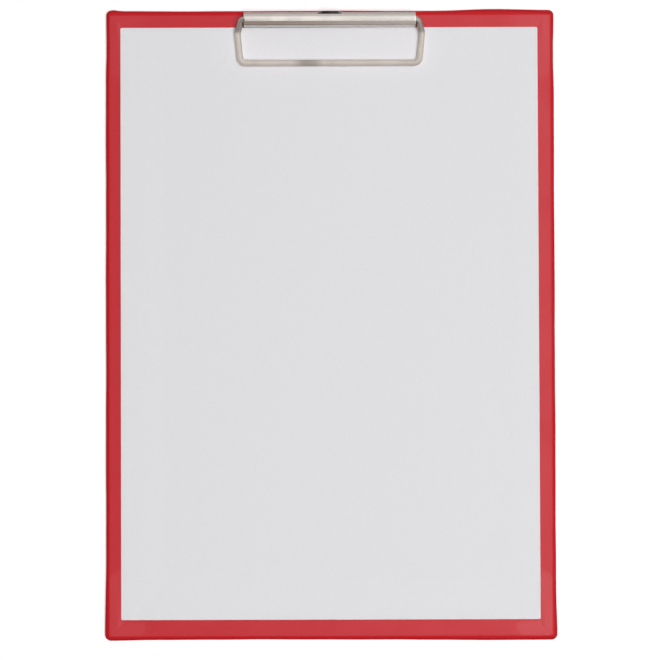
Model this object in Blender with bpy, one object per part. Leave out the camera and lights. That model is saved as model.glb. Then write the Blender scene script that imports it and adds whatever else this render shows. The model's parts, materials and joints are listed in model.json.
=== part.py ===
"""A4 clipboard: film-wrapped board with a white writing face, a sprung wire clip and a fold-out hanger.

The board lies on its back. X runs across it, Y towards the clip and Z up. The origin is the middle
of the back face. Lengths are in metres, angles in degrees.
"""

import math

import bmesh
import bpy
from mathutils import Matrix, Vector

MM = 0.001

# Board
BOARD_WIDTH = 225.6 * MM
BOARD_HEIGHT = 316.2 * MM
CORNER_RADIUS = 2.6 * MM
CORE_THICKNESS = 2.0 * MM
FOIL_THICKNESS = 0.25 * MM
EDGE_FLAT = 0.4 * MM
GLUE_LINE = 0.05 * MM

# White writing sheet
LINING_THICKNESS = 0.2 * MM
LINING_SIDE_MARGIN = 7.8 * MM
LINING_BOTTOM_MARGIN = 10.0 * MM
LINING_CORNER = 0.5 * MM
LINING_LAP = 6.0 * MM
LINING_STEP_RUN = 14.0 * MM

# Clip cover
BAR_LENGTH = 86.2 * MM
BAR_SHEET = 0.5 * MM
BAR_LIP = 1.0 * MM
BAR_SHOULDER_RADIUS = 0.6 * MM
BAR_CROWN_ANGLE = 43.0
BAR_EDGE_GAP = 2.4 * MM
BAR_LINING_GAP = 0.06 * MM

# Wire bail
WIRE_DIAMETER = 3.2 * MM
BAIL_REACH = 21.4 * MM
BAIL_KNEE_REACH = 6.2 * MM
BAIL_ELBOW_OUT = 1.4 * MM
BAIL_KNEE_OUT = 3.3 * MM
BAIL_FRONT_OUT = 1.8 * MM
BAIL_ELBOW_RADIUS = 2.2 * MM
BAIL_KNEE_RADIUS = 2.6 * MM
BAIL_FRONT_RADIUS = 3.0 * MM
BAIL_PAPER_GAP = 0.15 * MM

# Torsion springs
SPRING_WIRE = 0.6 * MM
SPRING_TURNS = 7
SPRING_PITCH = 1.2 * MM
SPRING_LEG = 1.6 * MM
SPRING_ROOM = 0.3 * MM

# Base plate
PLATE_SHEET = 0.7 * MM
EAR_SETBACK = 1.4 * MM
EAR_RISE = 1.0 * MM

# Rivets
RIVET_DIAMETER = 3.2 * MM
RIVET_HEAD_DIAMETER = 8.0 * MM
RIVET_HEAD_HEIGHT = 0.6 * MM
RIVET_FLARE = 0.6 * MM
RIVET_BORE_WALL = 0.6 * MM
RIVET_EAR_DISTANCE = 8.0 * MM

# Hanging eyelet
HANGER_WIDTH = 11.6 * MM
HANGER_REACH = 4.8 * MM
HANGER_SHEET = 1.7 * MM
HANGER_RECESS = 0.45 * MM
HANGER_BAND = 1.2 * MM
HANGER_PIN = 1.0 * MM
HANGER_BARREL_WALL = 0.25 * MM
HANGER_LEAN = 0.1 * MM
HANGER_ARCH_SHARE = 0.6
LUG_WALL = 0.3 * MM

# Clearances
SEAT_GAP = 0.1 * MM
RUNNING_GAP = 0.1 * MM
PIN_GAP = 0.05 * MM
OPEN_GAP = 0.2 * MM

# Facets of round shapes
CORNER_SEGMENTS = 5
EDGE_SEGMENTS = 4
ARCH_SEGMENTS = 16
ROUND_SEGMENTS = 24
WIRE_SIDES = 12
BEND_SEGMENTS = 7
SHOULDER_SEGMENTS = 3
COIL_SIDES = 6
COIL_SEGMENTS = 12

# Layers of the board, from the back face up
CORE_BOTTOM = FOIL_THICKNESS + GLUE_LINE
CORE_TOP = CORE_BOTTOM + CORE_THICKNESS
TURN_IN_BOTTOM = CORE_TOP + GLUE_LINE
BOARD_TOP = TURN_IN_BOTTOM + FOIL_THICKNESS
EDGE_RADIUS = (BOARD_TOP - EDGE_FLAT) / 2
LINING_BOTTOM = CORE_TOP + GLUE_LINE
LINING_TOP = LINING_BOTTOM + LINING_THICKNESS
LINING_EDGE_BOTTOM = BOARD_TOP + GLUE_LINE
LINING_EDGE_TOP = LINING_EDGE_BOTTOM + LINING_THICKNESS

# Clip section: the journal carries the coil, and the cover goes round the coil
WIRE_RADIUS = WIRE_DIAMETER / 2
COIL_INNER_RADIUS = WIRE_RADIUS + RUNNING_GAP + PIN_GAP
COIL_RADIUS = COIL_INNER_RADIUS + SPRING_WIRE / 2
COIL_OUTER_RADIUS = COIL_INNER_RADIUS + SPRING_WIRE
BAR_INNER_HALF_WIDTH = COIL_OUTER_RADIUS + SPRING_ROOM
BAR_HALF_WIDTH = BAR_INNER_HALF_WIDTH + BAR_SHEET
BAR_BOTTOM = BOARD_TOP + SEAT_GAP
PLATE_BOTTOM = BAR_BOTTOM + BAR_SHEET + SEAT_GAP
PLATE_TOP = PLATE_BOTTOM + PLATE_SHEET
PLATE_HALF_WIDTH = BAR_INNER_HALF_WIDTH - RUNNING_GAP
PIVOT_Y = BOARD_HEIGHT / 2 - BAR_EDGE_GAP - BAR_HALF_WIDTH
PIVOT_Z = PLATE_TOP + OPEN_GAP + EAR_RISE + COIL_OUTER_RADIUS
BAR_TOP = PIVOT_Z + BAR_HALF_WIDTH

# Places along the clip, from its outer end inwards
BAR_END = BAR_LENGTH / 2
OUTER_EAR_OUT = BAR_END - EAR_SETBACK
OUTER_EAR_IN = OUTER_EAR_OUT - PLATE_SHEET
COIL_START_ANGLE = 115.0
COIL_END_ANGLE = 270.0 + 360.0 * SPRING_TURNS
COIL_LENGTH = SPRING_PITCH * (COIL_END_ANGLE - COIL_START_ANGLE) / 360.0
COIL_OUTER_END = OUTER_EAR_IN - OPEN_GAP - SPRING_WIRE / 2
TANG_X = COIL_OUTER_END - COIL_LENGTH
INNER_EAR_OUT = TANG_X - SPRING_WIRE / 2 - OPEN_GAP
INNER_EAR_IN = INNER_EAR_OUT - PLATE_SHEET
JOURNAL_TIP = INNER_EAR_IN - OPEN_GAP
RIVET_X = INNER_EAR_IN - RIVET_EAR_DISTANCE

# Outline of the writing sheet and of the film folded over under it
LINING_LEFT = LINING_SIDE_MARGIN - BOARD_WIDTH / 2
LINING_LOW = LINING_BOTTOM_MARGIN - BOARD_HEIGHT / 2
LINING_HIGH = PIVOT_Y - BAR_HALF_WIDTH - BAR_LINING_GAP
LINING_TOP_MARGIN = BOARD_HEIGHT / 2 - LINING_HIGH
TURN_IN = max(LINING_SIDE_MARGIN, LINING_BOTTOM_MARGIN, LINING_TOP_MARGIN) + LINING_LAP

# Hanging eyelet: it stands in a recess of the cover and turns on a pin in the lugs of the base plate
HANGER_BARREL_RADIUS = HANGER_PIN / 2 + PIN_GAP + HANGER_BARREL_WALL
HANGER_FRONT = PIVOT_Y + BAR_HALF_WIDTH - HANGER_RECESS
HANGER_AXIS_Y = HANGER_FRONT + HANGER_SHEET / 2 + HANGER_LEAN
HANGER_AXIS_Z = BOARD_TOP + OPEN_GAP + HANGER_BARREL_RADIUS
LUG_RADIUS = HANGER_PIN / 2 + PIN_GAP + LUG_WALL
LUG_IN = HANGER_WIDTH / 2 + RUNNING_GAP
LUG_OUT = LUG_IN + PLATE_SHEET
PIN_HEAD_HEIGHT = LUG_WALL
PIN_HEAD_RADIUS = HANGER_PIN / 2 + LUG_WALL / 2
NOTCH_HALF_WIDTH = LUG_OUT + PIN_GAP + PIN_HEAD_HEIGHT + OPEN_GAP
NOTCH_TOP = HANGER_AXIS_Z + max(LUG_RADIUS, HANGER_BARREL_RADIUS) + OPEN_GAP
RECESS_HALF_WIDTH = HANGER_WIDTH / 2 + OPEN_GAP

# Finishes: colour, roughness, metallic
RED_FILM = ((0.52, 0.035, 0.045), 0.38, 0.0)
GREYBOARD = ((0.36, 0.32, 0.27), 0.9, 0.0)
WHITE_PAPER = ((0.76, 0.76, 0.77), 0.7, 0.0)
NICKEL = ((0.66, 0.61, 0.55), 0.18, 1.0)
ZINC = ((0.55, 0.55, 0.54), 0.35, 1.0)
SPRING_STEEL = ((0.35, 0.34, 0.33), 0.3, 1.0)
BLACK_STEEL = ((0.03, 0.028, 0.026), 0.4, 0.6)


def clear_scene():
    for old in list(bpy.data.objects):
        bpy.data.objects.remove(old, do_unlink=True)


def new_material(name, finish):
    colour, roughness, metallic = finish
    material = bpy.data.materials.new(name)
    material.use_nodes = True
    shader = material.node_tree.nodes["Principled BSDF"]
    shader.inputs["Base Color"].default_value = (*colour, 1.0)
    shader.inputs["Roughness"].default_value = roughness
    shader.inputs["Metallic"].default_value = metallic
    return material


def new_object(name, bm, root, location=(0.0, 0.0, 0.0)):
    """Object made from a bmesh, with its faces turned outwards."""
    bmesh.ops.recalc_face_normals(bm, faces=bm.faces)
    mesh = bpy.data.meshes.new(name)
    bm.to_mesh(mesh)
    bm.free()
    obj = bpy.data.objects.new(name, mesh)
    bpy.context.scene.collection.objects.link(obj)
    obj.location = location
    obj.parent = root
    return obj


def add_part(name, bm, finish, root, location=(0.0, 0.0, 0.0)):
    """One piece of the clipboard, smooth on its round faces."""
    obj = new_object(name, bm, root, location)
    obj.data.shade_smooth()
    obj.data.set_sharp_from_angle(angle=math.radians(32.0))
    obj.data.materials.append(new_material(name + "_finish", finish))
    return obj


def add_helper(name, bm, root, location=(0.0, 0.0, 0.0)):
    """Hidden shape that a piece is cut by or joined with."""
    obj = new_object(name, bm, root, location)
    obj.hide_render = True
    obj.display_type = "WIRE"
    return obj


def combine(obj, helper, operation):
    modifier = obj.modifiers.new(helper.name, "BOOLEAN")
    modifier.object = helper
    modifier.operation = operation
    modifier.solver = "EXACT"


def add_loft(bm, rings, closed=False):
    """Skin over rings of equally many points, capped at both ends or closed on itself."""
    loops = [[bm.verts.new(point) for point in ring] for ring in rings]
    pairs = list(zip(loops, loops[1:]))
    if closed:
        pairs.append((loops[-1], loops[0]))
    else:
        bm.faces.new(loops[0])
        bm.faces.new(loops[-1])
    count = len(loops[0])
    for near, far in pairs:
        for i in range(count):
            j = (i + 1) % count
            bm.faces.new((near[i], near[j], far[j], far[i]))


def arc(centre, radius, start, end, segments):
    """Points of an arc in a plane, from one angle to another."""
    points = []
    for i in range(segments + 1):
        angle = math.radians(start + (end - start) * i / segments)
        points.append((centre[0] + radius * math.cos(angle), centre[1] + radius * math.sin(angle)))
    return points


def rounded_rectangle(left, right, low, high, radius, z):
    """Ring of points round a rectangle with round corners."""
    ring = []
    for corner_x, corner_y, start in (
        (right - radius, low + radius, -90.0),
        (right - radius, high - radius, 0.0),
        (left + radius, high - radius, 90.0),
        (left + radius, low + radius, 180.0),
    ):
        ring += arc((corner_x, corner_y), radius, start, start + 90.0, CORNER_SEGMENTS)
    return [Vector((x, y, z)) for x, y in ring]


def board_ring(inset, z):
    """Outline of the board, moved in from its edge."""
    half_width = BOARD_WIDTH / 2 - inset
    half_height = BOARD_HEIGHT / 2 - inset
    radius = max(CORNER_RADIUS - inset, LINING_CORNER)
    return rounded_rectangle(-half_width, half_width, -half_height, half_height, radius, z)


def edge_profile(bottom, top, inset, radius):
    """Insets and heights up a round edge, from the back face to the front face."""
    centre_inset = inset + radius
    lower = arc((centre_inset, bottom + radius), radius, 270.0, 180.0, EDGE_SEGMENTS)
    upper = arc((centre_inset, top - radius), radius, 180.0, 90.0, EDGE_SEGMENTS)
    return lower + upper


def add_cylinder(bm, radius, length, matrix):
    bmesh.ops.create_cone(
        bm,
        cap_ends=True,
        segments=ROUND_SEGMENTS,
        radius1=radius,
        radius2=radius,
        depth=length,
        matrix=matrix,
    )


def along_x(x, y, z):
    """Placement of a cylinder that lies along X."""
    return Matrix.Translation((x, y, z)) @ Matrix.Rotation(math.radians(90.0), 4, "Y")


def add_box(bm, low, high):
    middle = [(a + b) / 2 for a, b in zip(low, high)]
    size = [b - a for a, b in zip(low, high)]
    matrix = Matrix.Translation(middle) @ Matrix.Diagonal((*size, 1.0))
    bmesh.ops.create_cube(bm, size=1.0, matrix=matrix)


def add_turned(bm, profile, x, y):
    """Shape turned about a vertical axis, from a profile that starts and ends on the axis."""
    rings = []
    for radius, z in profile[1:-1]:
        ring = arc((x, y), radius, 0.0, 360.0, ROUND_SEGMENTS)[:-1]
        rings.append([bm.verts.new((px, py, z)) for px, py in ring])
    for near, far in zip(rings, rings[1:]):
        for i in range(ROUND_SEGMENTS):
            j = (i + 1) % ROUND_SEGMENTS
            bm.faces.new((near[i], near[j], far[j], far[i]))
    for ring, z in ((rings[0], profile[0][1]), (rings[-1], profile[-1][1])):
        tip = bm.verts.new((x, y, z))
        for i in range(ROUND_SEGMENTS):
            bm.faces.new((ring[i], ring[(i + 1) % ROUND_SEGMENTS], tip))


def add_extrusion(bm, outline, x_low, x_high):
    """Solid with one outline in Y and Z, between two places along X."""
    add_loft(bm, [[Vector((x, y, z)) for y, z in outline] for x in (x_low, x_high)])


def add_rod(bm, points, radius, sides):
    """Round rod along a line of points, closed at both ends."""
    rings = []
    normal = Vector((0.0, 0.0, 1.0))
    if abs((points[1] - points[0]).normalized().z) > 0.9:
        normal = Vector((0.0, 1.0, 0.0))
    for i, point in enumerate(points):
        tangent = (points[min(i + 1, len(points) - 1)] - points[max(i - 1, 0)]).normalized()
        normal = (normal - tangent * normal.dot(tangent)).normalized()
        side = tangent.cross(normal)
        ring = arc((0.0, 0.0), radius, 0.0, 360.0, sides)[:-1]
        rings.append([point + normal * a + side * b for a, b in ring])
    add_loft(bm, rings)


def add_rivet_clearance(root):
    """Stepped holes for the two rivets, from below the back face to above the front face."""
    hole = RIVET_DIAMETER / 2 + RUNNING_GAP
    recess = RIVET_HEAD_DIAMETER / 2 + OPEN_GAP
    recess_top = GLUE_LINE + RIVET_HEAD_HEIGHT + RUNNING_GAP
    below = -BOARD_TOP
    above = 2 * BOARD_TOP
    profile = [(0.0, below), (recess, below), (recess, recess_top)]
    profile += [(hole, recess_top), (hole, above), (0.0, above)]
    bm = bmesh.new()
    for side in (-1, 1):
        add_turned(bm, profile, side * RIVET_X, PIVOT_Y)
    return add_helper("rivet_clearance", bm, root)


def add_cover_foil(root, rivet_clearance):
    """Film round the back, the edges and the front border, in one piece."""
    inner_radius = EDGE_RADIUS - FOIL_THICKNESS
    outside = edge_profile(0.0, BOARD_TOP, 0.0, EDGE_RADIUS)
    inside = edge_profile(FOIL_THICKNESS, TURN_IN_BOTTOM, FOIL_THICKNESS, inner_radius)
    profile = outside + [(TURN_IN, BOARD_TOP), (TURN_IN, TURN_IN_BOTTOM)] + inside[::-1]
    bm = bmesh.new()
    add_loft(bm, [board_ring(inset, z) for inset, z in profile])
    foil = add_part("cover_foil", bm, RED_FILM, root)
    combine(foil, rivet_clearance, "DIFFERENCE")


def add_core_board(root, rivet_clearance):
    edge_inset = FOIL_THICKNESS + GLUE_LINE
    edge_radius = EDGE_RADIUS - edge_inset
    profile = edge_profile(CORE_BOTTOM, CORE_TOP, edge_inset, edge_radius)
    bm = bmesh.new()
    add_loft(bm, [board_ring(inset, z) for inset, z in profile])
    core = add_part("core_board", bm, GREYBOARD, root)
    combine(core, rivet_clearance, "DIFFERENCE")


def add_lining_sheet(root):
    """Sheet that lies on the folded-over film at its edge and steps down to the core inside it."""
    step_top = TURN_IN + GLUE_LINE
    step_foot = step_top + LINING_STEP_RUN

    def outer_ring(z):
        return rounded_rectangle(LINING_LEFT, -LINING_LEFT, LINING_LOW, LINING_HIGH, LINING_CORNER, z)

    rings = [
        board_ring(step_foot, LINING_BOTTOM),
        board_ring(step_top, LINING_EDGE_BOTTOM),
        outer_ring(LINING_EDGE_BOTTOM),
        outer_ring(LINING_EDGE_TOP),
        board_ring(step_top, LINING_EDGE_TOP),
        board_ring(step_foot, LINING_TOP),
    ]
    bm = bmesh.new()
    add_loft(bm, rings)
    add_part("lining_sheet", bm, WHITE_PAPER, root)


def crown_outline(half_width, shoulder_radius, top):
    """Low arch with rounded shoulders that run down into upright walls, from the rear to the front."""
    shoulder_y = half_width - shoulder_radius
    reach = shoulder_y / math.sin(math.radians(BAR_CROWN_ANGLE))
    crown_z = top - shoulder_radius - reach
    shoulder_z = crown_z + reach * math.cos(math.radians(BAR_CROWN_ANGLE))
    rear = 90.0 - BAR_CROWN_ANGLE
    front = 90.0 + BAR_CROWN_ANGLE
    line = arc((shoulder_y, shoulder_z), shoulder_radius, 0.0, rear, SHOULDER_SEGMENTS)
    line += arc((0.0, crown_z), reach + shoulder_radius, rear, front, ARCH_SEGMENTS)[1:-1]
    line += arc((-shoulder_y, shoulder_z), shoulder_radius, front, 180.0, SHOULDER_SEGMENTS)
    return line


def add_clip_bar(root):
    """Crowned cover with lips turned in under the base plate and a stepped notch for the hanger."""
    foot = BAR_BOTTOM - PIVOT_Z
    lip_top = foot + BAR_SHEET
    lip_edge = BAR_HALF_WIDTH - BAR_LIP
    top = BAR_TOP - PIVOT_Z
    inside = crown_outline(BAR_INNER_HALF_WIDTH, BAR_SHOULDER_RADIUS - BAR_SHEET, top - BAR_SHEET)
    outline = [(lip_edge, foot), (BAR_HALF_WIDTH, foot)]
    outline += crown_outline(BAR_HALF_WIDTH, BAR_SHOULDER_RADIUS, top)
    outline += [(-BAR_HALF_WIDTH, foot), (-lip_edge, foot)]
    outline += [(-lip_edge, lip_top), (-BAR_INNER_HALF_WIDTH, lip_top)]
    outline += inside[::-1]
    outline += [(BAR_INNER_HALF_WIDTH, lip_top), (lip_edge, lip_top)]
    bm = bmesh.new()
    add_extrusion(bm, outline, -BAR_END, BAR_END)
    bar = add_part("clip_bar", bm, NICKEL, root, (0.0, PIVOT_Y, PIVOT_Z))

    notch = bmesh.new()
    front = PIVOT_Y + PLATE_HALF_WIDTH - BAR_LIP
    rear = PIVOT_Y + BAR_HALF_WIDTH + BAR_LIP
    add_box(notch, (-NOTCH_HALF_WIDTH, front, 0.0), (NOTCH_HALF_WIDTH, rear, NOTCH_TOP))
    combine(bar, add_helper("hanger_notch", notch, root), "DIFFERENCE")
    recess = bmesh.new()
    recess_front = HANGER_FRONT - RUNNING_GAP
    add_box(recess, (-RECESS_HALF_WIDTH, recess_front, 0.0), (RECESS_HALF_WIDTH, rear, 2 * BAR_TOP))
    combine(bar, add_helper("hanger_recess", recess, root), "DIFFERENCE")


def add_base_plate(root):
    """Flat plate with four bearing ears for the bail and two lugs for the hanger."""
    bm = bmesh.new()
    add_box(
        bm,
        (-OUTER_EAR_OUT, PIVOT_Y - PLATE_HALF_WIDTH, PLATE_BOTTOM),
        (OUTER_EAR_OUT, PIVOT_Y + PLATE_HALF_WIDTH, PLATE_TOP),
    )
    plate = add_part("base_plate", bm, ZINC, root)

    ear = [(PIVOT_Y - PLATE_HALF_WIDTH, PLATE_BOTTOM), (PIVOT_Y + PLATE_HALF_WIDTH, PLATE_BOTTOM)]
    ear += arc((PIVOT_Y, PIVOT_Z), PLATE_HALF_WIDTH, 0.0, 180.0, ARCH_SEGMENTS)
    lug_front = PIVOT_Y + PLATE_HALF_WIDTH - PLATE_SHEET
    lug = [(lug_front, HANGER_AXIS_Z - LUG_RADIUS)]
    lug += arc((HANGER_AXIS_Y, HANGER_AXIS_Z), LUG_RADIUS, -90.0, 90.0, ARCH_SEGMENTS)
    lug += [(lug_front, HANGER_AXIS_Z + LUG_RADIUS)]
    raised = bmesh.new()
    for side in (-1, 1):
        add_extrusion(raised, ear, side * OUTER_EAR_IN, side * OUTER_EAR_OUT)
        add_extrusion(raised, ear, side * INNER_EAR_IN, side * INNER_EAR_OUT)
        add_extrusion(raised, lug, side * LUG_IN, side * LUG_OUT)
    combine(plate, add_helper("plate_ears", raised, root), "UNION")

    holes = bmesh.new()
    for side in (-1, 1):
        bearing = along_x(side * (INNER_EAR_IN + OUTER_EAR_OUT) / 2, PIVOT_Y, PIVOT_Z)
        add_cylinder(holes, WIRE_RADIUS + RUNNING_GAP, 2 * (OUTER_EAR_OUT - INNER_EAR_IN), bearing)
        rivet = Matrix.Translation((side * RIVET_X, PIVOT_Y, PLATE_BOTTOM))
        add_cylinder(holes, RIVET_DIAMETER / 2 + RUNNING_GAP, 4 * PLATE_SHEET, rivet)
    pin = along_x(0.0, HANGER_AXIS_Y, HANGER_AXIS_Z)
    add_cylinder(holes, HANGER_PIN / 2 + PIN_GAP, 4 * LUG_OUT, pin)
    combine(plate, add_helper("plate_holes", holes, root), "DIFFERENCE")


def rounded_line(corners, radii):
    """Line through corners, with every corner but the first and the last one rounded."""
    line = [corners[0]]
    for before, corner, after, radius in zip(corners, corners[1:], corners[2:], radii):
        incoming = (corner - before).normalized()
        outgoing = (after - corner).normalized()
        turn = incoming.angle(outgoing)
        axis = incoming.cross(outgoing)
        start = corner - incoming * radius * math.tan(turn / 2)
        centre = start + axis.cross(incoming).normalized() * radius
        for i in range(BEND_SEGMENTS + 1):
            line.append(centre + Matrix.Rotation(turn * i / BEND_SEGMENTS, 3, axis) @ (start - centre))
    line.append(corners[-1])
    return line


def wire_height(reach):
    """Height of the wire's middle over its axis, where it lies on the writing sheet."""
    run = BOARD_HEIGHT / 2 - (PIVOT_Y - reach) - TURN_IN - GLUE_LINE
    share = min(max(run / LINING_STEP_RUN, 0.0), 1.0)
    sheet_top = LINING_EDGE_TOP + (LINING_TOP - LINING_EDGE_TOP) * share
    return sheet_top + BAIL_PAPER_GAP + WIRE_RADIUS - PIVOT_Z


def add_wire_bail(root):
    """Wire loop on two journals: its legs drop to the writing sheet and then lie along it."""
    half = [
        Vector((JOURNAL_TIP, 0.0, 0.0)),
        Vector((BAR_END + BAIL_ELBOW_OUT, 0.0, 0.0)),
        Vector((BAR_END + BAIL_KNEE_OUT, -BAIL_KNEE_REACH, wire_height(BAIL_KNEE_REACH))),
        Vector((BAR_END + BAIL_FRONT_OUT, -BAIL_REACH, wire_height(BAIL_REACH))),
    ]
    mirrored = [Vector((-corner.x, corner.y, corner.z)) for corner in half]
    radii = [BAIL_ELBOW_RADIUS, BAIL_KNEE_RADIUS, BAIL_FRONT_RADIUS]
    bm = bmesh.new()
    add_rod(bm, rounded_line(half + mirrored[::-1], radii + radii[::-1]), WIRE_RADIUS, WIRE_SIDES)
    axis = (0.0, PIVOT_Y, PIVOT_Z)
    bail = add_part("wire_bail", bm, NICKEL, root, axis)

    slots = bmesh.new()
    half_width = SPRING_WIRE / 2 + RUNNING_GAP
    slot_end = TANG_X + SPRING_WIRE / 2 + OPEN_GAP
    for side in (-1, 1):
        ends = sorted((side * (JOURNAL_TIP - WIRE_RADIUS), side * slot_end))
        add_box(slots, (ends[0], -half_width, -WIRE_DIAMETER), (ends[1], half_width, WIRE_DIAMETER))
    combine(bail, add_helper("journal_slots", slots, root, axis), "DIFFERENCE")


def add_spring(name, side, root):
    """Coil on the journal, with a tang in its slot and a leg on the base plate."""
    tang_low = Vector((TANG_X, 0.0, -WIRE_RADIUS))
    tang_high = Vector((TANG_X, 0.0, COIL_RADIUS))
    points = [tang_low, tang_high]
    turn = COIL_END_ANGLE - COIL_START_ANGLE
    steps = round(COIL_SEGMENTS * turn / 360.0)
    for i in range(steps + 1):
        share = i / steps
        angle = math.radians(COIL_START_ANGLE + turn * share)
        x = TANG_X + COIL_LENGTH * share
        points.append(Vector((x, COIL_RADIUS * math.cos(angle), COIL_RADIUS * math.sin(angle))))
    points.append(points[-1] + Vector((0.0, SPRING_LEG, -EAR_RISE)))
    bm = bmesh.new()
    add_rod(bm, [Vector((side * p.x, p.y, p.z)) for p in points], SPRING_WIRE / 2, COIL_SIDES)
    add_part(name, bm, SPRING_STEEL, root, (0.0, PIVOT_Y, PIVOT_Z))


def add_rivet(name, side, root):
    """Semi-tubular rivet: flat head let into the back, rolled over on the base plate."""
    shank = RIVET_DIAMETER / 2
    bore = shank - RIVET_BORE_WALL
    head = RIVET_HEAD_DIAMETER / 2
    head_bottom = GLUE_LINE
    head_top = head_bottom + RIVET_HEAD_HEIGHT
    roll_bottom = PLATE_TOP + SEAT_GAP
    roll_top = roll_bottom + RIVET_FLARE
    bore_end = PLATE_BOTTOM - PLATE_SHEET
    profile = [
        (0.0, head_bottom),
        (head - RIVET_HEAD_HEIGHT, head_bottom),
        (head, head_bottom + RIVET_HEAD_HEIGHT / 2),
        (head, head_top),
        (shank, head_top),
        (shank, roll_bottom),
        (shank + RIVET_FLARE, roll_bottom),
        (shank + RIVET_FLARE, roll_bottom + RIVET_FLARE / 3),
        (shank, roll_top),
        (bore, roll_bottom + RIVET_FLARE / 3),
        (bore, bore_end),
        (0.0, bore_end),
    ]
    bm = bmesh.new()
    add_turned(bm, profile, side * RIVET_X, PIVOT_Y)
    add_part(name, bm, NICKEL, root)


def eyelet_outline(half_width, low, high):
    """Straight sides from a flat foot, with an arched top."""
    shoulder = high - HANGER_ARCH_SHARE * (high - low)
    crown = arc((0.0, 0.0), 1.0, 0.0, 180.0, ARCH_SEGMENTS)
    top = [(half_width * x, shoulder + (high - shoulder) * z) for x, z in crown]
    return [(-half_width, low), (half_width, low)] + top


def add_hanger(root):
    """Flat eyelet with a barrel at its foot, upright in the recess of the cover."""
    front = HANGER_FRONT - HANGER_AXIS_Y
    rear = front + HANGER_SHEET
    outer = eyelet_outline(HANGER_WIDTH / 2, 0.0, HANGER_REACH)
    hole = eyelet_outline(
        HANGER_WIDTH / 2 - HANGER_BAND,
        HANGER_BARREL_RADIUS + HANGER_BARREL_WALL,
        HANGER_REACH - HANGER_BAND,
    )
    rings = [(outer, front), (outer, rear), (hole, rear), (hole, front)]
    bm = bmesh.new()
    add_loft(bm, [[Vector((x, y, z)) for x, z in outline] for outline, y in rings], closed=True)
    axis = (0.0, HANGER_AXIS_Y, HANGER_AXIS_Z)
    hanger = add_part("hanger", bm, BLACK_STEEL, root, axis)

    barrel = bmesh.new()
    add_cylinder(barrel, HANGER_BARREL_RADIUS, HANGER_WIDTH - 2 * PIN_GAP, along_x(0.0, 0.0, 0.0))
    combine(hanger, add_helper("hanger_barrel", barrel, root, axis), "UNION")
    bore = bmesh.new()
    add_cylinder(bore, HANGER_PIN / 2 + PIN_GAP, 2 * HANGER_WIDTH, along_x(0.0, 0.0, 0.0))
    combine(hanger, add_helper("hanger_bore", bore, root, axis), "DIFFERENCE")


def add_hanger_pin(root):
    """Pin through the lugs and the barrel, with a small head outside each lug."""
    head_in = LUG_OUT + PIN_GAP
    head_out = head_in + PIN_HEAD_HEIGHT
    radius = HANGER_PIN / 2
    steps = [(-head_out, PIN_HEAD_RADIUS), (-head_in, PIN_HEAD_RADIUS), (-head_in, radius)]
    steps += [(head_in, radius), (head_in, PIN_HEAD_RADIUS), (head_out, PIN_HEAD_RADIUS)]
    axis = (HANGER_AXIS_Y, HANGER_AXIS_Z)
    rings = []
    for x, step_radius in steps:
        ring = arc(axis, step_radius, 0.0, 360.0, ROUND_SEGMENTS)[:-1]
        rings.append([Vector((x, y, z)) for y, z in ring])
    bm = bmesh.new()
    add_loft(bm, rings)
    add_part("hanger_pin", bm, ZINC, root)


def main():
    clear_scene()
    root = bpy.data.objects.new("clipboard", None)
    bpy.context.scene.collection.objects.link(root)
    rivet_clearance = add_rivet_clearance(root)
    add_cover_foil(root, rivet_clearance)
    add_core_board(root, rivet_clearance)
    add_lining_sheet(root)
    add_clip_bar(root)
    add_base_plate(root)
    add_wire_bail(root)
    for name, side in (("left", -1), ("right", 1)):
        add_spring("spring_" + name, side, root)
        add_rivet("rivet_" + name, side, root)
    add_hanger(root)
    add_hanger_pin(root)


main()
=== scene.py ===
"""Looks of the clipboard: film, writing sheet, nickel clip, springs and hanging tab, in studio light."""

import json
import math

import bmesh
import bpy
from mathutils import Matrix, Vector


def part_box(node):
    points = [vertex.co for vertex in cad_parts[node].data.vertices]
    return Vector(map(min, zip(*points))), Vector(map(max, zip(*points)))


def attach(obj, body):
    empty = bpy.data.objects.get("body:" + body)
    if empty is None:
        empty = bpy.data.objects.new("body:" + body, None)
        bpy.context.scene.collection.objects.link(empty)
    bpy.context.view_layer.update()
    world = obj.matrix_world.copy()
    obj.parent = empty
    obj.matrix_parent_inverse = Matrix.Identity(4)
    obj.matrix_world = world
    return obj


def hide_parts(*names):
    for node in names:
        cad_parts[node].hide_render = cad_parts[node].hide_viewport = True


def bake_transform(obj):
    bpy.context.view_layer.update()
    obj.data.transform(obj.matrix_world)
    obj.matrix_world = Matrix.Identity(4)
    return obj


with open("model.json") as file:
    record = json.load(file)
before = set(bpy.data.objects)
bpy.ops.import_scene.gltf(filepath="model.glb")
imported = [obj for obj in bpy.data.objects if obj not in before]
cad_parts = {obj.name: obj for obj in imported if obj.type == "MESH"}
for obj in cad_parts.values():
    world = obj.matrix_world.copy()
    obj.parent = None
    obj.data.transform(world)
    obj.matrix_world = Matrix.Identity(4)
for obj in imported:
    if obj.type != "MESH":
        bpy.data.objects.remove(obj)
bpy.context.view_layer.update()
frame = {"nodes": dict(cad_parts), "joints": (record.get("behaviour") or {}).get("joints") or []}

MM = 0.001

# Places and sizes read from the frame
FOIL_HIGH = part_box("cover_foil")[1]
CORE_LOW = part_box("core_board")[0]
SHEET_LOW, SHEET_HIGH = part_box("lining_sheet")
BAR_LOW, BAR_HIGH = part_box("clip_bar")
BAIL_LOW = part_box("wire_bail")[0]
SPRING_LOW, SPRING_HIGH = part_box("spring_right")
RIVET_LOW, RIVET_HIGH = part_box("rivet_right")
TAB_LOW, TAB_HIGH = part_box("hanger")
PIN_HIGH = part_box("hanger_pin")[1]
JOINT_PLACE = {joint["name"]: Vector(joint["pos_m"]) for joint in frame["joints"]}
BAIL_AXIS = JOINT_PLACE["bail_lift"]
TAB_AXIS = JOINT_PLACE["hanger_fold"]

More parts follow.
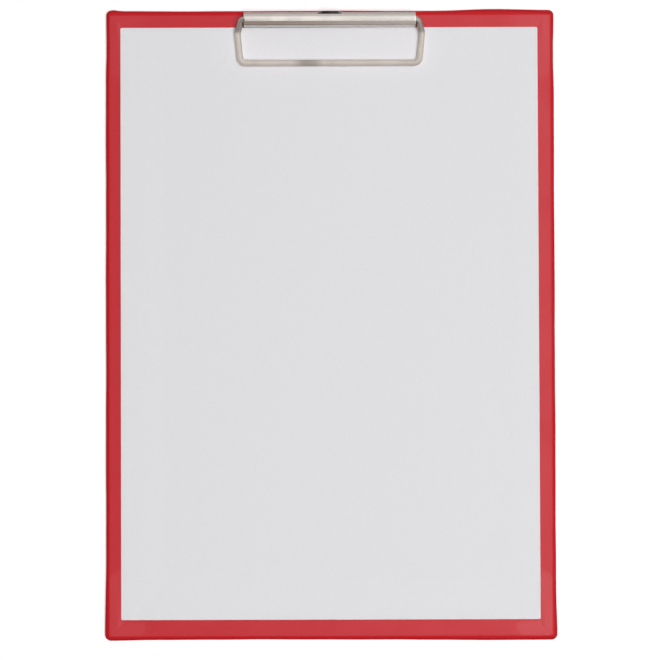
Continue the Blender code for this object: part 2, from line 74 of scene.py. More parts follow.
# Board
GLUE_LINE = 0.05 * MM
HALF_WIDTH = FOIL_HIGH.x
HALF_HEIGHT = FOIL_HIGH.y
BOARD_TOP = FOIL_HIGH.z
FILM = CORE_LOW.z - GLUE_LINE
CORNER_RADIUS = 2.6 * MM
LEAST_CORNER_RADIUS = 0.15 * MM
EDGE_UPRIGHT = 0.4 * MM
EDGE_RADIUS = (BOARD_TOP - EDGE_UPRIGHT) / 2
RIM_WIDTH = 1.7 * MM
RIM_FULLNESS = 1.35
TURN_IN = 16.0 * MM
SHEET_THICKNESS = 0.2 * MM
SHEET_STEP_START = TURN_IN + GLUE_LINE
SHEET_STEP_RUN = 14.0 * MM
SHEET_DROP = SHEET_HIGH.z - SHEET_LOW.z - SHEET_THICKNESS
SHEET_SHIFT = 0.3 * MM
SHEET_TURN = 0.001

# Clip
WIRE_RADIUS = 1.6 * MM
PAPER_GAP = 0.15 * MM
BAR_HALF_WIDTH = (BAR_HIGH.y - BAR_LOW.y) / 2
BAR_SHEET = 0.5 * MM
BAR_LIP = 1.0 * MM
BAR_LIP_EDGE = BAR_HALF_WIDTH - BAR_LIP
BAR_SHOULDER_RADIUS = 0.6 * MM
BAR_CROWN_ANGLE = 43.0
BAR_REAR_FULLNESS = 1.13
SPRING_WIRE_RADIUS = 0.3 * MM
SPRING_PITCH = 1.2 * MM
SPRING_START_ANGLE = 115.0
SPRING_LEG = Vector((0.0, 1.6 * MM, -1.0 * MM))
RIVET_HEAD_RADIUS = (RIVET_HIGH.x - RIVET_LOW.x) / 2

# Fineness of round shapes
CORNER_STEPS = 12
SIDE_STEPS = 64
EDGE_STEPS = 10
INNER_EDGE_STEPS = 4
SLOPE_STEPS = 16
CROWN_STEPS = 40
SHOULDER_STEPS = 8
LIP_STEPS = 6
BEND_STEPS = 18
ROUND_SIDES = 64
WIRE_SIDES = 32
COIL_SIDES = 12
COIL_STEPS = 240
RIVET_EDGE_STEPS = 8
RIVET_ROLL_STEPS = 10
TAB_STEPS = 40

# Softened edges: the least angle in degrees between two faces, and how near points are joined
SOFTEN_ANGLE = 35.0
WELD_DISTANCE = 0.001 * MM

# Tints as shares of red, green and blue, and the roughness added where dark reflection and shade are painted
# on the nickel
WHITE = (1.0, 1.0, 1.0)
NICKEL_TINT = (1.0, 0.93, 0.87)
NICKEL_HAZE_TINT = (0.95, 0.88, 0.82)
PAINTED_SHADE_TINT = (0.04, 0.026, 0.02)
PAINTED_SHADE_ROUGHNESS = 0.45


def srgb(red, green, blue):
    """Linear colour from 8-bit screen values."""
    linear = []
    for value in (red, green, blue):
        share = value / 255.0
        linear.append(share / 12.92 if share <= 0.04045 else ((share + 0.055) / 1.055) ** 2.4)
    return (*linear, 1.0)


def tinted(tint, strength):
    """Linear colour of a tint at a given strength."""
    return (*[strength * channel for channel in tint], 1.0)


class Nodes:
    """Short way to add and link the shader nodes of a material or of the world."""

    def __init__(self, owner):
        owner.use_nodes = True
        self.owner = owner
        self.tree = owner.node_tree
        self.shader = self.tree.nodes.get("Principled BSDF") or self.tree.nodes["Background"]

    def add(self, kind, inputs=None, **settings):
        node = self.tree.nodes.new(kind)
        for key, value in settings.items():
            setattr(node, key, value)
        for key, value in (inputs or {}).items():
            self.feed(node, key, value)
        return node

    def feed(self, node, key, value):
        socket = node.inputs[key]
        if isinstance(value, bpy.types.NodeSocket):
            self.tree.links.new(value, socket)
        else:
            socket.default_value = value

    def coords(self, kind="Object", scale=(1.0, 1.0, 1.0)):
        source = self.add("ShaderNodeTexCoord").outputs[kind]
        return self.add("ShaderNodeMapping", {"Vector": source, "Scale": scale}).outputs["Vector"]

    def noise(self, vector, scale, detail, roughness=0.5):
        inputs = {"Vector": vector, "Scale": scale, "Detail": detail, "Roughness": roughness}
        return self.add("ShaderNodeTexNoise", inputs).outputs["Fac"]

    def remap(self, value, low, high, from_low=0.3, from_high=0.7):
        """Smooth step from low to high while the value runs from one place to another."""
        inputs = {"Value": value, "From Min": from_low, "From Max": from_high}
        inputs.update({"To Min": low, "To Max": high})
        return self.add("ShaderNodeMapRange", inputs, interpolation_type="SMOOTHSTEP").outputs["Result"]

    def stretch(self, value, start, full, fading, end):
        """1 between full and fading, and 0 before start and past end."""
        rise = self.remap(value, 0.0, 1.0, start, full)
        return self.math("MULTIPLY", rise, self.remap(value, 1.0, 0.0, fading, end))

    def place(self, axis):
        """Place along one axis of the board, in metres."""
        return self.add("ShaderNodeSeparateXYZ", {0: self.coords()}).outputs[axis]

    def both_ends(self, axis, start, full):
        """0 up to a distance from the board's middle line, and 1 past a greater one, on both sides."""
        return self.remap(self.math("ABSOLUTE", self.place(axis), 0.0), 0.0, 1.0, start, full)

    def math(self, operation, first, second):
        return self.add("ShaderNodeMath", {0: first, 1: second}, operation=operation).outputs[0]

    def blend(self, factor, first, second):
        node = self.add("ShaderNodeMix", data_type="RGBA")
        self.feed(node, 0, factor)
        self.feed(node, 6, first)
        self.feed(node, 7, second)
        return node.outputs[2]

    def bump(self, height, distance, strength):
        inputs = {"Height": height, "Distance": distance, "Strength": strength}
        return self.add("ShaderNodeBump", inputs).outputs["Normal"]

    def set(self, **values):
        """Feeds inputs of the main shader, named in small letters with underscores."""
        for key, value in values.items():
            self.feed(self.shader, key.replace("_", " ").title().replace("Ior", "IOR"), value)
        return self.owner


def new_finish(name):
    return Nodes(bpy.data.materials.new(name))


def red_film():
    """Plastic film with a pressed grain and faint mottling, and painted shade: deeper red where it rounds
    the edge, in a wider band along the top edge.
    """
    rim_start = 2.6 * MM
    rim_full = 1.2 * MM
    top_rim_start = 3.0 * MM
    top_rim_full = 2.1 * MM
    n = new_finish("red_film")
    place = n.coords()
    mottle = n.noise(place, scale=45.0, detail=4.0)
    grain = n.add("ShaderNodeTexVoronoi", {"Vector": place, "Scale": 2600.0}, feature="SMOOTH_F1")
    pores = n.noise(place, scale=5200.0, detail=2.0)
    near_side = n.both_ends("X", HALF_WIDTH - rim_start, HALF_WIDTH - rim_full)
    near_end = n.both_ends("Y", HALF_HEIGHT - rim_start, HALF_HEIGHT - rim_full)
    near_top = n.remap(n.place("Y"), 0.0, 1.0, HALF_HEIGHT - top_rim_start, HALF_HEIGHT - top_rim_full)
    rim_with_painted_shade = n.math("MAXIMUM", near_side, n.math("MAXIMUM", near_end, near_top))
    colour = n.blend(n.remap(mottle, 0.0, 1.0), srgb(190, 22, 36), srgb(186, 20, 33))
    # painted shade: the deeper red on the rounded edge stands in for the shade that falls there
    colour = n.blend(rim_with_painted_shade, colour, srgb(188, 4, 20))
    height = n.math("ADD", grain.outputs["Distance"], n.math("MULTIPLY", pores, 0.5))
    roughness = n.math("ADD", n.remap(mottle, 0.30, 0.35), n.remap(pores, -0.02, 0.02))
    roughness = n.math("ADD", roughness, n.math("MULTIPLY", rim_with_painted_shade, 0.25))
    n.set(specular_ior_level=n.remap(rim_with_painted_shade, 0.5, 0.25, 0.0, 1.0))
    normal = n.bump(height, distance=0.012 * MM, strength=0.6)
    return n.set(base_color=colour, roughness=roughness, normal=normal)


def white_paper():
    """Smooth uncoated paper with a faint fibre formation."""
    n = new_finish("white_paper")
    cloud = n.noise(n.coords(), scale=900.0, detail=4.0, roughness=0.6)
    fibre = n.noise(n.coords(scale=(1.0, 0.35, 1.0)), scale=2800.0, detail=4.0, roughness=0.65)
    colour = n.blend(n.remap(cloud, 0.0, 1.0), srgb(229, 228, 231), srgb(227, 226, 229))
    n.set(specular_ior_level=0.25)
    roughness = n.remap(fibre, 0.70, 0.8)
    normal = n.bump(fibre, distance=0.006 * MM, strength=0.4)
    return n.set(base_color=colour, roughness=roughness, normal=normal)


def painted_foot_shade(n):
    """Share of painted shade at the foot of the cover's front wall, from its left end to past the middle:
    the dark reflection of shaded paper, painted into the colour.
    """
    strength = 0.55
    full_height = 3.4 * MM
    clear_height = 6.4 * MM
    full_depth = BAR_LOW.y + 0.15 * MM
    clear_depth = BAR_LOW.y + 0.5 * MM
    full_side = -8.0 * MM
    clear_side = 32.0 * MM
    # painted shade: darkest low on the front wall, fading upwards, backwards and to the right
    low = n.remap(n.place("Z"), 1.0, 0.0, full_height, clear_height)
    front = n.remap(n.place("Y"), strength, 0.0, full_depth, clear_depth)
    left = n.remap(n.place("X"), 1.0, 0.0, full_side, clear_side)
    return n.math("MULTIPLY", n.math("MULTIPLY", low, front), left)


def painted_wire_shade(n):
    """Share of painted shade on the wire: dark reflection painted next to its journals, and in a patch left
    of the middle of its front.
    """
    journal_strength = 0.5
    journal_start = BAIL_AXIS.y - 7.0 * MM
    journal_full = BAIL_AXIS.y - 5.0 * MM
    patch_strength = 0.22
    patch_sides = (-20.0 * MM, -13.0 * MM, -9.0 * MM, -2.0 * MM)
    patch_full = BAIL_LOW.y + 3.0 * MM
    patch_end = BAIL_LOW.y + 5.0 * MM
    # painted shade: dark reflection painted onto the legs where they slope down from the journals
    journal = n.remap(n.place("Y"), 0.0, journal_strength, journal_start, journal_full)
    patch = n.stretch(n.place("X"), *patch_sides)
    span = n.remap(n.place("Y"), patch_strength, 0.0, patch_full, patch_end)
    return n.math("MAXIMUM", journal, n.math("MULTIPLY", patch, span))


def nickel(name, shade, polish, line_scale, dulling=None, painted_shade=None, kind="Object"):
    """Nickel plate with fine lines along the drawn or rolled direction.

    dulling turns the polish into a satin finish: axis, where it starts and is full, and how much. The stain
    argument gives the share where dark reflection and shade are painted into the colour.
    """
    n = new_finish(name)
    lines = n.noise(n.coords(kind, line_scale), scale=1.0, detail=3.0, roughness=0.6)
    haze = n.noise(n.coords(), scale=120.0, detail=3.0)
    colour = n.blend(n.remap(haze, 0.0, 1.0), tinted(NICKEL_TINT, shade), tinted(NICKEL_HAZE_TINT, shade))
    roughness = n.math("ADD", n.remap(haze, polish, polish + 0.04), n.remap(lines, -0.02, 0.03))
    if painted_shade:
        share = painted_shade(n)
        # painted shade: dark reflection and shade painted into the colour where the share is high
        colour = n.blend(share, colour, tinted(PAINTED_SHADE_TINT, 1.0))
        roughness = n.math("ADD", roughness, n.math("MULTIPLY", share, PAINTED_SHADE_ROUGHNESS))
    if dulling:
        axis, start, end, amount = dulling
        roughness = n.math("ADD", roughness, n.remap(n.place(axis), 0.0, amount, start, end))
    n.set(metallic=1.0)
    normal = n.bump(lines, distance=0.002 * MM, strength=0.4)
    return n.set(base_color=colour, roughness=roughness, normal=normal)


def cover_nickel():
    """Rolled nickel plate of the cover, more satin towards its right end, with painted shade at the foot of
    its front wall.
    """
    rolled_lines = (60.0, 5200.0, 5200.0)
    satin_end = ("X", 2.0 * MM, 34.0 * MM, 0.09)
    return nickel("nickel_cover", 0.6, 0.12, rolled_lines, satin_end, painted_foot_shade)


def wire_nickel():
    """Nickel-plated drawn wire, polished at its journals and satin on the loop, with painted dark reflection
    next to its journals and in a patch on its front.
    """
    drawn_lines = (60.0, 5200.0, 1.0)
    satin_loop = ("Y", BAIL_AXIS.y - 5.2 * MM, BAIL_AXIS.y - 6.8 * MM, 0.56)
    return nickel("nickel_wire", 0.76, 0.16, drawn_lines, satin_loop, painted_wire_shade, "UV")


def rivet_nickel():
    """Nickel plate of the rivets, the same all over."""
    even_marks = (900.0, 900.0, 900.0)
    return nickel("nickel_rivet", 0.6, 0.2, even_marks)


def plated_steel(name, light, dark, low_roughness, high_roughness):
    """Plain steel with a patchy plated or drawn surface."""
    n = new_finish(name)
    patches = n.noise(n.coords(), scale=900.0, detail=3.0)
    scratches = n.noise(n.coords(scale=(0.15, 1.0, 1.0)), scale=6000.0, detail=2.0)
    n.set(metallic=1.0)
    return n.set(
        base_color=n.blend(n.remap(patches, 0.0, 1.0), light, dark),
        roughness=n.remap(patches, low_roughness, high_roughness),
        normal=n.bump(scratches, distance=0.003 * MM, strength=0.4),
    )


def spring_steel():
    """Drawn spring wire."""
    return plated_steel("spring_steel", srgb(168, 164, 160), srgb(132, 128, 124), 0.24, 0.34)


def zinc_plate():
    """Zinc-plated steel of the base plate and the tab's pin."""
    return plated_steel("zinc_plate", srgb(196, 198, 198), srgb(168, 171, 173), 0.3, 0.45)


def black_steel():
    """Dark steel, dull in patches and lighter towards both sides of the tab."""
    bright_start = 3.4 * MM
    bright_full = 5.8 * MM
    n = new_finish("black_steel")
    patches = n.noise(n.coords(), scale=700.0, detail=4.0, roughness=0.6)
    rub = n.noise(n.coords(scale=(0.3, 1.0, 1.0)), scale=2600.0, detail=3.0)
    n.set(metallic=0.7)
    colour = n.blend(n.remap(rub, 0.0, 1.0, 0.55, 0.8), srgb(44, 40, 38), srgb(92, 85, 80))
    colour = n.blend(n.both_ends("X", bright_start, bright_full), colour, srgb(150, 145, 139))
    roughness = n.remap(patches, 0.34, 0.5)
    normal = n.bump(patches, distance=0.01 * MM, strength=0.4)
    return n.set(base_color=colour, roughness=roughness, normal=normal)


def greyboard():
    """Grey-brown recycled board with flecks of fibre."""
    n = new_finish("greyboard")
    fleck = n.noise(n.coords(), scale=1800.0, detail=4.0, roughness=0.7)
    colour = n.blend(n.remap(fleck, 0.0, 1.0), srgb(168, 158, 145), srgb(128, 118, 106))
    roughness = n.remap(fleck, 0.85, 0.95)
    normal = n.bump(fleck, distance=0.05 * MM, strength=0.6)
    return n.set(base_color=colour, roughness=roughness, normal=normal)


def arc(centre, radius, start, end, segments):
    """Points of an arc in a plane, from one angle to another, in degrees."""
    points = []
    for i in range(segments + 1):
        angle = math.radians(start + (end - start) * i / segments)
        points.append((centre[0] + radius * math.cos(angle), centre[1] + radius * math.sin(angle)))
    return points


def circle(centre, radius, sides):
    return arc(centre, radius, 0.0, 360.0, sides)[:-1]


def add_loft(bm, rings, closed=False):
    """Skin over rings of equally many points, capped at both ends or closed on itself."""
    loops = [[bm.verts.new(point) for point in ring] for ring in rings]
    pairs = list(zip(loops, loops[1:]))
    if closed:
        pairs.append((loops[-1], loops[0]))
    else:
        bm.faces.new(loops[0])
        bm.faces.new(loops[-1])
    count = len(loops[0])
    for near, far in pairs:
        for i in range(count):
            j = (i + 1) % count
            bm.faces.new((near[i], near[j], far[j], far[i]))


def add_turned(bm, profile, centre):
    """Shape turned about an upright axis from radii and heights."""
    rings = []
    for radius, z in profile:
        rings.append([Vector((x, y, z)) for x, y in circle(centre, radius, ROUND_SIDES)])
    add_loft(bm, rings)


def add_box(bm, low, high):
    middle = [(a + b) / 2 for a, b in zip(low, high)]
    size = [b - a for a, b in zip(low, high)]
    bmesh.ops.create_cube(bm, size=1.0, matrix=Matrix.Translation(middle) @ Matrix.Diagonal((*size, 1.0)))


def add_rod(bm, points, radius, sides):
    """Round rod along a line of points, with its length and girth as UV in metres."""
    steep = 0.9
    rings = []
    lengths = [0.0]
    normal = Vector((0.0, 0.0, 1.0))
    if abs((points[1] - points[0]).normalized().z) > steep:
        normal = Vector((0.0, 1.0, 0.0))
    for i, point in enumerate(points):
        tangent = (points[min(i + 1, len(points) - 1)] - points[max(i - 1, 0)]).normalized()
        normal = (normal - tangent * normal.dot(tangent)).normalized()
        side = tangent.cross(normal)
        rings.append([point + normal * a + side * b for a, b in circle((0.0, 0.0), radius, sides)])
        if i:
            lengths.append(lengths[-1] + (point - points[i - 1]).length)
    add_loft(bm, rings)
    bm.verts.index_update()
    uv = bm.loops.layers.uv.new("along")
    girth = 2 * math.pi * radius
    for face in bm.faces:
        for loop in face.loops:
            ring, step = divmod(loop.vert.index, sides)
            loop[uv].uv = (lengths[ring], girth * step / sides)


def rounded_line(corners, radii):
    """Line through corners, with every corner but the first and the last one rounded."""
    line = [corners[0]]
    for before, corner, after, radius in zip(corners, corners[1:], corners[2:], radii):
        incoming = (corner - before).normalized()
        outgoing = (after - corner).normalized()
        turn = incoming.angle(outgoing)
        axis = incoming.cross(outgoing)
        start = corner - incoming * radius * math.tan(turn / 2)
        centre = start + axis.cross(incoming).normalized() * radius
        for i in range(BEND_STEPS + 1):
            line.append(centre + Matrix.Rotation(turn * i / BEND_STEPS, 3, axis) @ (start - centre))
    line.append(corners[-1])
    return line


def new_mesh_object(name, bm):
    bmesh.ops.recalc_face_normals(bm, faces=bm.faces)
    mesh = bpy.data.meshes.new(name)
    bm.to_mesh(mesh)
    bm.free()
    obj = bpy.data.objects.new(name, mesh)
    bpy.context.scene.collection.objects.link(obj)
    return obj


def bake_modifiers(obj):
    """Keeps the modified shape as the object's own mesh."""
    shape = obj.evaluated_get(bpy.context.evaluated_depsgraph_get())
    mesh = bpy.data.meshes.new_from_object(shape)
    obj.modifiers.clear()
    obj.data = mesh


def combine(obj, bm, operation):
    """Adds a helper shape to the object or cuts it away."""
    helper = new_mesh_object(obj.name + "_helper", bm)
    modifier = obj.modifiers.new("combine", "BOOLEAN")
    modifier.object = helper
    modifier.operation = operation
    bake_modifiers(obj)
    bpy.data.objects.remove(helper, do_unlink=True)


def weld(obj):
    """Joins points that lie on one spot."""
    bm = bmesh.new()
    bm.from_mesh(obj.data)
    bmesh.ops.remove_doubles(bm, verts=bm.verts, dist=WELD_DISTANCE)
    bm.to_mesh(obj.data)
    bm.free()


def soften(obj, width, segments):
    """Small round on the sharp edges."""
    modifier = obj.modifiers.new("soften", "BEVEL")
    modifier.width = width
    modifier.segments = segments
    modifier.limit_method = "ANGLE"
    modifier.angle_limit = math.radians(SOFTEN_ANGLE)
    bake_modifiers(obj)
    weld(obj)


def finish_piece(obj, material, body, node, sharp=40.0):
    """Smooth shading, material and the CAD node that the piece stands for."""
    obj.data.shade_smooth()
    obj.data.set_sharp_from_angle(angle=math.radians(sharp))
    obj.data.materials.clear()
    obj.data.materials.append(material)
    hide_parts(node)
    if body:
        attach(obj, body)


# Corners of the board: signs of x and y, and the angle where the corner's round starts
CORNERS = ((1, -1, -90.0), (1, 1, 0.0), (-1, 1, 90.0), (-1, -1, 180.0))
SIDE_LENGTHS = (2 * HALF_HEIGHT, 2 * HALF_WIDTH, 2 * HALF_HEIGHT, 2 * HALF_WIDTH)


def ring_layout():
    """Stations round the board: corner number with angle share, or side number with length share."""
    stations = []
    for number in range(len(CORNERS)):
        stations += [("corner", number, i / CORNER_STEPS) for i in range(CORNER_STEPS + 1)]
        for i in range(1, SIDE_STEPS):
            stations.append(("side", number, (1 - math.cos(math.pi * i / SIDE_STEPS)) / 2))
    return stations


STATIONS = ring_layout()


def corner_point(number, share, left, right, low, high, radius):
    """Point on one round corner of a rectangle and its outward direction."""
    sign_x, sign_y, start = CORNERS[number]
    angle = math.radians(start + 90.0 * share)
    out = Vector((math.cos(angle), math.sin(angle)))
    centre_x = right - radius if sign_x > 0 else left + radius
    centre_y = high - radius if sign_y > 0 else low + radius
    return Vector((centre_x, centre_y)) + radius * out, out


def station_place(station, *edges_and_radius):
    """Point on a round-cornered rectangle and its outward direction."""
    kind, number, share = station
    if kind == "corner":
        return corner_point(number, share, *edges_and_radius)
    begin, out = corner_point(number, 1.0, *edges_and_radius)
    end, _ = corner_point((number + 1) % len(CORNERS), 0.0, *edges_and_radius)
    return begin.lerp(end, share), out


def corner_distance(station):
    """How far along the side a station is from the nearest corner, in millimetres."""
    kind, number, share = station
    return 0.0 if kind == "corner" else min(share, 1.0 - share) * SIDE_LENGTHS[number] / MM


def hump(distance, width):
    """1 at no distance, falling off smoothly to both sides."""
    return math.exp(-((distance / width) ** 2))


# How the folded film stands out or draws in at the two ends of each side: height and its place and
# width along the side, in millimetres. Sides in turn: right, top, left and bottom.
SIDE_ENDS = (
    (((0.55, 0.0, 13.0),), ((0.05, 2.0, 6.0), (-0.35, 20.0, 9.0))),
    (((0.6, 28.0, 17.0), (-0.4, 72.0, 20.0)), ((0.5, 1.2, 2.8), (-0.25, 60.0, 40.0))),
    (((-0.15, 0.0, 9.0), (-0.42, 16.0, 6.5)), ((0.55, 0.0, 20.0),)),
    (((0.4, 2.0, 14.0),), ((0.2, 0.0, 22.0), (0.42, 40.0, 45.0))),
)

# Faint waves along the sides: height and length in millimetres, and the shift from side to side. They fade
# out towards the corners.
EDGE_WAVES = ((0.06, 13.0, 1.7), (0.03, 5.3, 0.9))
WAVE_FADE = 20.0


def end_swell(side, end, distance):
    """How far the film stands out at a distance from one end of a side, in millimetres."""
    return sum(height * hump(distance - place, width) for height, place, width in SIDE_ENDS[side][end])


def edge_swell(station):
    """Folded film makes the corners stand out or draw in, with a faint wave along the sides."""
    kind, number, share = station
    if kind == "corner":
        before = end_swell((number - 1) % len(CORNERS), 1, 0.0)
        after = end_swell(number, 0, 0.0)
        return (before + (after - before) * share) * MM
    along = share * SIDE_LENGTHS[number] / MM
    left_over = SIDE_LENGTHS[number] / MM - along
    fade = 1.0 - hump(min(along, left_over), WAVE_FADE)
    wave = sum(height * math.sin(along / length + shift * number) for height, length, shift in EDGE_WAVES)
    return (end_swell(number, 0, along) + end_swell(number, 1, left_over) + fade * wave) * MM


def fold_lift(station, inset):
    """Height of the mitred fold: the flap on the long sides lies over the one on the short sides.

    The lump and the flap are given in millimetres.
    """
    fold_end = 7.6 * MM
    fold_fade = 1.6 * MM
    lump_height = 0.05
    lump_width = 6.0
    flap_height = 0.09
    flap_width = 12.0
    kind, number, share = station
    on_long_side = kind == "side" and number % 2 == 0
    if kind == "corner":
        on_long_side = (share > 0.5) == (number % 2 == 0)
    fade_in = min(inset / RIM_WIDTH, 1.0)
    fade_out = max(0.0, min(1.0, (fold_end - inset) / fold_fade))
    lump = lump_height * hump(corner_distance(station), lump_width)
    flap = flap_height * hump(corner_distance(station), flap_width) if on_long_side else 0.0
    return (lump + flap) * MM * fade_in * fade_out


def board_ring(inset, z, loose=0.0, front=0.0):
    """Outline of the board moved in from its edge.

    loose is the share of the film's swelling that it follows, and front the share of the folds' height.
    """
    radius = max(CORNER_RADIUS - inset, LEAST_CORNER_RADIUS)
    half_width = HALF_WIDTH - inset
    half_height = HALF_HEIGHT - inset
    ring = []
    for station in STATIONS:
        place, out = station_place(station, -half_width, half_width, -half_height, half_height, radius)
        place += out * edge_swell(station) * loose
        ring.append(Vector((*place, z + fold_lift(station, inset) * front)))
    return ring


def rivet_centre(side):
    return (side * (RIVET_LOW.x + RIVET_HIGH.x) / 2, (RIVET_LOW.y + RIVET_HIGH.y) / 2)


def film_rings():
    """Rings of the film from the back, round the edge and over the border, then back along its inside.

    The insets on the border and the end of its loose part are given in millimetres.
    """
    inner_radius = EDGE_RADIUS - FILM
    back_support = 0.4 * MM
    border_insets = (2.0, 2.6, 3.4, 4.4, 5.4, 6.2, 7.0, 7.8, 9.0)
    border_looseness = 0.8
    rim_tightening = 0.2
    loose_border = 7.0
    rings = [board_ring(EDGE_RADIUS + back_support, 0.0)]
    for inset, z in arc((EDGE_RADIUS, EDGE_RADIUS), EDGE_RADIUS, 270.0, 180.0, EDGE_STEPS):
        rings.append(board_ring(inset, z, 1.0 - inset / EDGE_RADIUS))
    shoulder = BOARD_TOP - EDGE_RADIUS
    for across, up in arc((0.0, 0.0), 1.0, 0.0, 90.0, EDGE_STEPS):
        inset = RIM_WIDTH * (1.0 - max(across, 0.0) ** (2 / RIM_FULLNESS))
        z = shoulder + EDGE_RADIUS * up ** (2 / RIM_FULLNESS)
        rings.append(board_ring(inset, z, 1.0 - rim_tightening * inset / RIM_WIDTH, 1.0))
    for inset in border_insets:
        loose = max(0.0, border_looseness * (1.0 - inset / loose_border))
        rings.append(board_ring(inset * MM, BOARD_TOP, loose, 1.0))
    rings.append(board_ring(TURN_IN, BOARD_TOP))
    rings.append(board_ring(TURN_IN, BOARD_TOP - FILM))
    inside = arc((EDGE_RADIUS, shoulder), inner_radius, 90.0, 180.0, INNER_EDGE_STEPS)
    inside += arc((EDGE_RADIUS, EDGE_RADIUS), inner_radius, 180.0, 270.0, INNER_EDGE_STEPS)
    return rings + [board_ring(inset, z) for inset, z in inside]


def film_wrap(material):
    """Film round the back, the edges and the front border, folded at the corners."""
    bm = bmesh.new()
    add_loft(bm, film_rings())
    obj = new_mesh_object("film_wrap", bm)
    holes = bmesh.new()
    hole_radius = RIVET_HEAD_RADIUS + 0.15 * MM
    for side in (-1, 1):
        add_turned(holes, [(hole_radius, -BOARD_TOP), (hole_radius, BOARD_TOP / 2)], rivet_centre(side))
    combine(obj, holes, "DIFFERENCE")
    finish_piece(obj, material, "board", "cover_foil", 60.0)


def sheet_ring(z, inset=0.0):
    """Outline of the writing sheet up to the cover, moved in from its edge, shifted and turned a little."""
    corner_radius = 0.8 * MM
    cover_gap = 0.01 * MM
    high = BAR_LOW.y - cover_gap - inset
    edges = (SHEET_LOW.x + inset, SHEET_HIGH.x - inset, SHEET_LOW.y + inset, high)
    ring = []
    for station in STATIONS:
        x, y = station_place(station, *edges, corner_radius)[0]
        ring.append(Vector((x - SHEET_SHIFT - SHEET_TURN * y, y, z)))
    return ring


def writing_sheet(material):
    """Paper glued over the folded film, easing down to the core inside it."""
    rounding = 0.04 * MM
    edge_support = 0.4 * MM
    flat_support = 1.0 * MM
    slope = []
    for i in range(SLOPE_STEPS + 1):
        share = i / SLOPE_STEPS
        rise = SHEET_DROP * (1.0 + math.cos(math.pi * share)) / 2
        slope.append((SHEET_STEP_START + SHEET_STEP_RUN * share, SHEET_LOW.z + rise))
    flat = SHEET_STEP_START + SHEET_STEP_RUN + flat_support
    top = SHEET_HIGH.z
    rings = [board_ring(flat, SHEET_LOW.z)]
    rings += [board_ring(inset, z) for inset, z in reversed(slope)]
    rings += [sheet_ring(top - SHEET_THICKNESS), sheet_ring(top - rounding)]
    rings += [sheet_ring(top, rounding), sheet_ring(top, edge_support)]
    rings += [board_ring(inset, z + SHEET_THICKNESS) for inset, z in slope]
    rings.append(board_ring(flat, SHEET_LOW.z + SHEET_THICKNESS))
    bm = bmesh.new()
    add_loft(bm, rings)
    obj = new_mesh_object("writing_sheet", bm)
    finish_piece(obj, material, "board", "lining_sheet", 50.0)


def crown_outline(half_width, shoulder_radius, top):
    """Low arch with rounded shoulders that run down into upright walls, from the rear to the front."""
    shoulder_y = half_width - shoulder_radius
    reach = shoulder_y / math.sin(math.radians(BAR_CROWN_ANGLE))
    crown_z = top - shoulder_radius - reach
    shoulder_z = crown_z + reach * math.cos(math.radians(BAR_CROWN_ANGLE))
    rear = 90.0 - BAR_CROWN_ANGLE
    front = 90.0 + BAR_CROWN_ANGLE
    line = arc((shoulder_y, shoulder_z), shoulder_radius, 0.0, rear, SHOULDER_STEPS)
    line += arc((0.0, crown_z), reach + shoulder_radius, rear, front, CROWN_STEPS)[1:-1]
    line += arc((-shoulder_y, shoulder_z), shoulder_radius, front, 180.0, SHOULDER_STEPS)
    return line


def cover_outline():
    """Section through the cover: a crowned sheet with lips turned in at its foot, fuller at the rear."""
    foot = BAR_LOW.z
    lip_top = foot + BAR_SHEET
    inner = BAR_HALF_WIDTH - BAR_SHEET
    turn = 0.12 * MM
    inside = crown_outline(inner, BAR_SHOULDER_RADIUS - BAR_SHEET, BAR_HIGH.z - BAR_SHEET)
    outline = [(BAR_LIP_EDGE, foot)]
    outline += arc((BAR_HALF_WIDTH - turn, foot + turn), turn, 270.0, 360.0, LIP_STEPS)
    outline += crown_outline(BAR_HALF_WIDTH, BAR_SHOULDER_RADIUS, BAR_HIGH.z)
    outline += arc((turn - BAR_HALF_WIDTH, foot + turn), turn, 180.0, 270.0, LIP_STEPS)
    outline += [(-BAR_LIP_EDGE, foot), (-BAR_LIP_EDGE, lip_top), (-inner, lip_top)]
    outline += inside[::-1]
    outline += [(inner, lip_top), (BAR_LIP_EDGE, lip_top)]
    return [(y * (BAR_REAR_FULLNESS if y > 0 else 1.0), z) for y, z in outline]


def clip_cover(material):
    """Crowned cover with lips turned in under the base plate and a stepped notch for the tab."""
    side_clearance = 0.2 * MM
    notch_height = 1.05 * MM
    notch_depth = 0.6 * MM
    recess_clearance = 0.1 * MM
    middle_y = (BAR_LOW.y + BAR_HIGH.y) / 2
    past_rear = BAR_HIGH.y + BAR_LIP
    near_tab = TAB_HIGH.x + 1.0 * MM
    near_end = BAR_HIGH.x - 0.5 * MM
    outline = cover_outline()
    bm = bmesh.new()
    stations = (-BAR_HIGH.x, -near_end, -near_tab, near_tab, near_end, BAR_HIGH.x)
    add_loft(bm, [[Vector((x, middle_y + y, z)) for y, z in outline] for x in stations])
    obj = new_mesh_object("clip_cover", bm)
    notch = bmesh.new()
    half = PIN_HIGH.x + side_clearance
    notch_front = middle_y + BAR_LIP_EDGE - notch_depth
    add_box(notch, (-half, notch_front, 0.0), (half, past_rear, TAB_AXIS.z + notch_height))
    combine(obj, notch, "DIFFERENCE")
    recess = bmesh.new()
    half = TAB_HIGH.x + side_clearance
    recess_front = TAB_LOW.y - recess_clearance
    add_box(recess, (-half, recess_front, 0.0), (half, past_rear, 2 * BAR_HIGH.z))
    combine(obj, recess, "DIFFERENCE")
    soften(obj, 0.08 * MM, 2)
    finish_piece(obj, material, "board", "clip_bar")


def wire_height(reach):
    """Height of the wire's middle over its axis, where it lies on the writing sheet."""
    run = HALF_HEIGHT - (BAIL_AXIS.y - reach) - SHEET_STEP_START
    share = min(max(run / SHEET_STEP_RUN, 0.0), 1.0)
    return SHEET_HIGH.z - SHEET_DROP * share + PAPER_GAP + WIRE_RADIUS - BAIL_AXIS.z


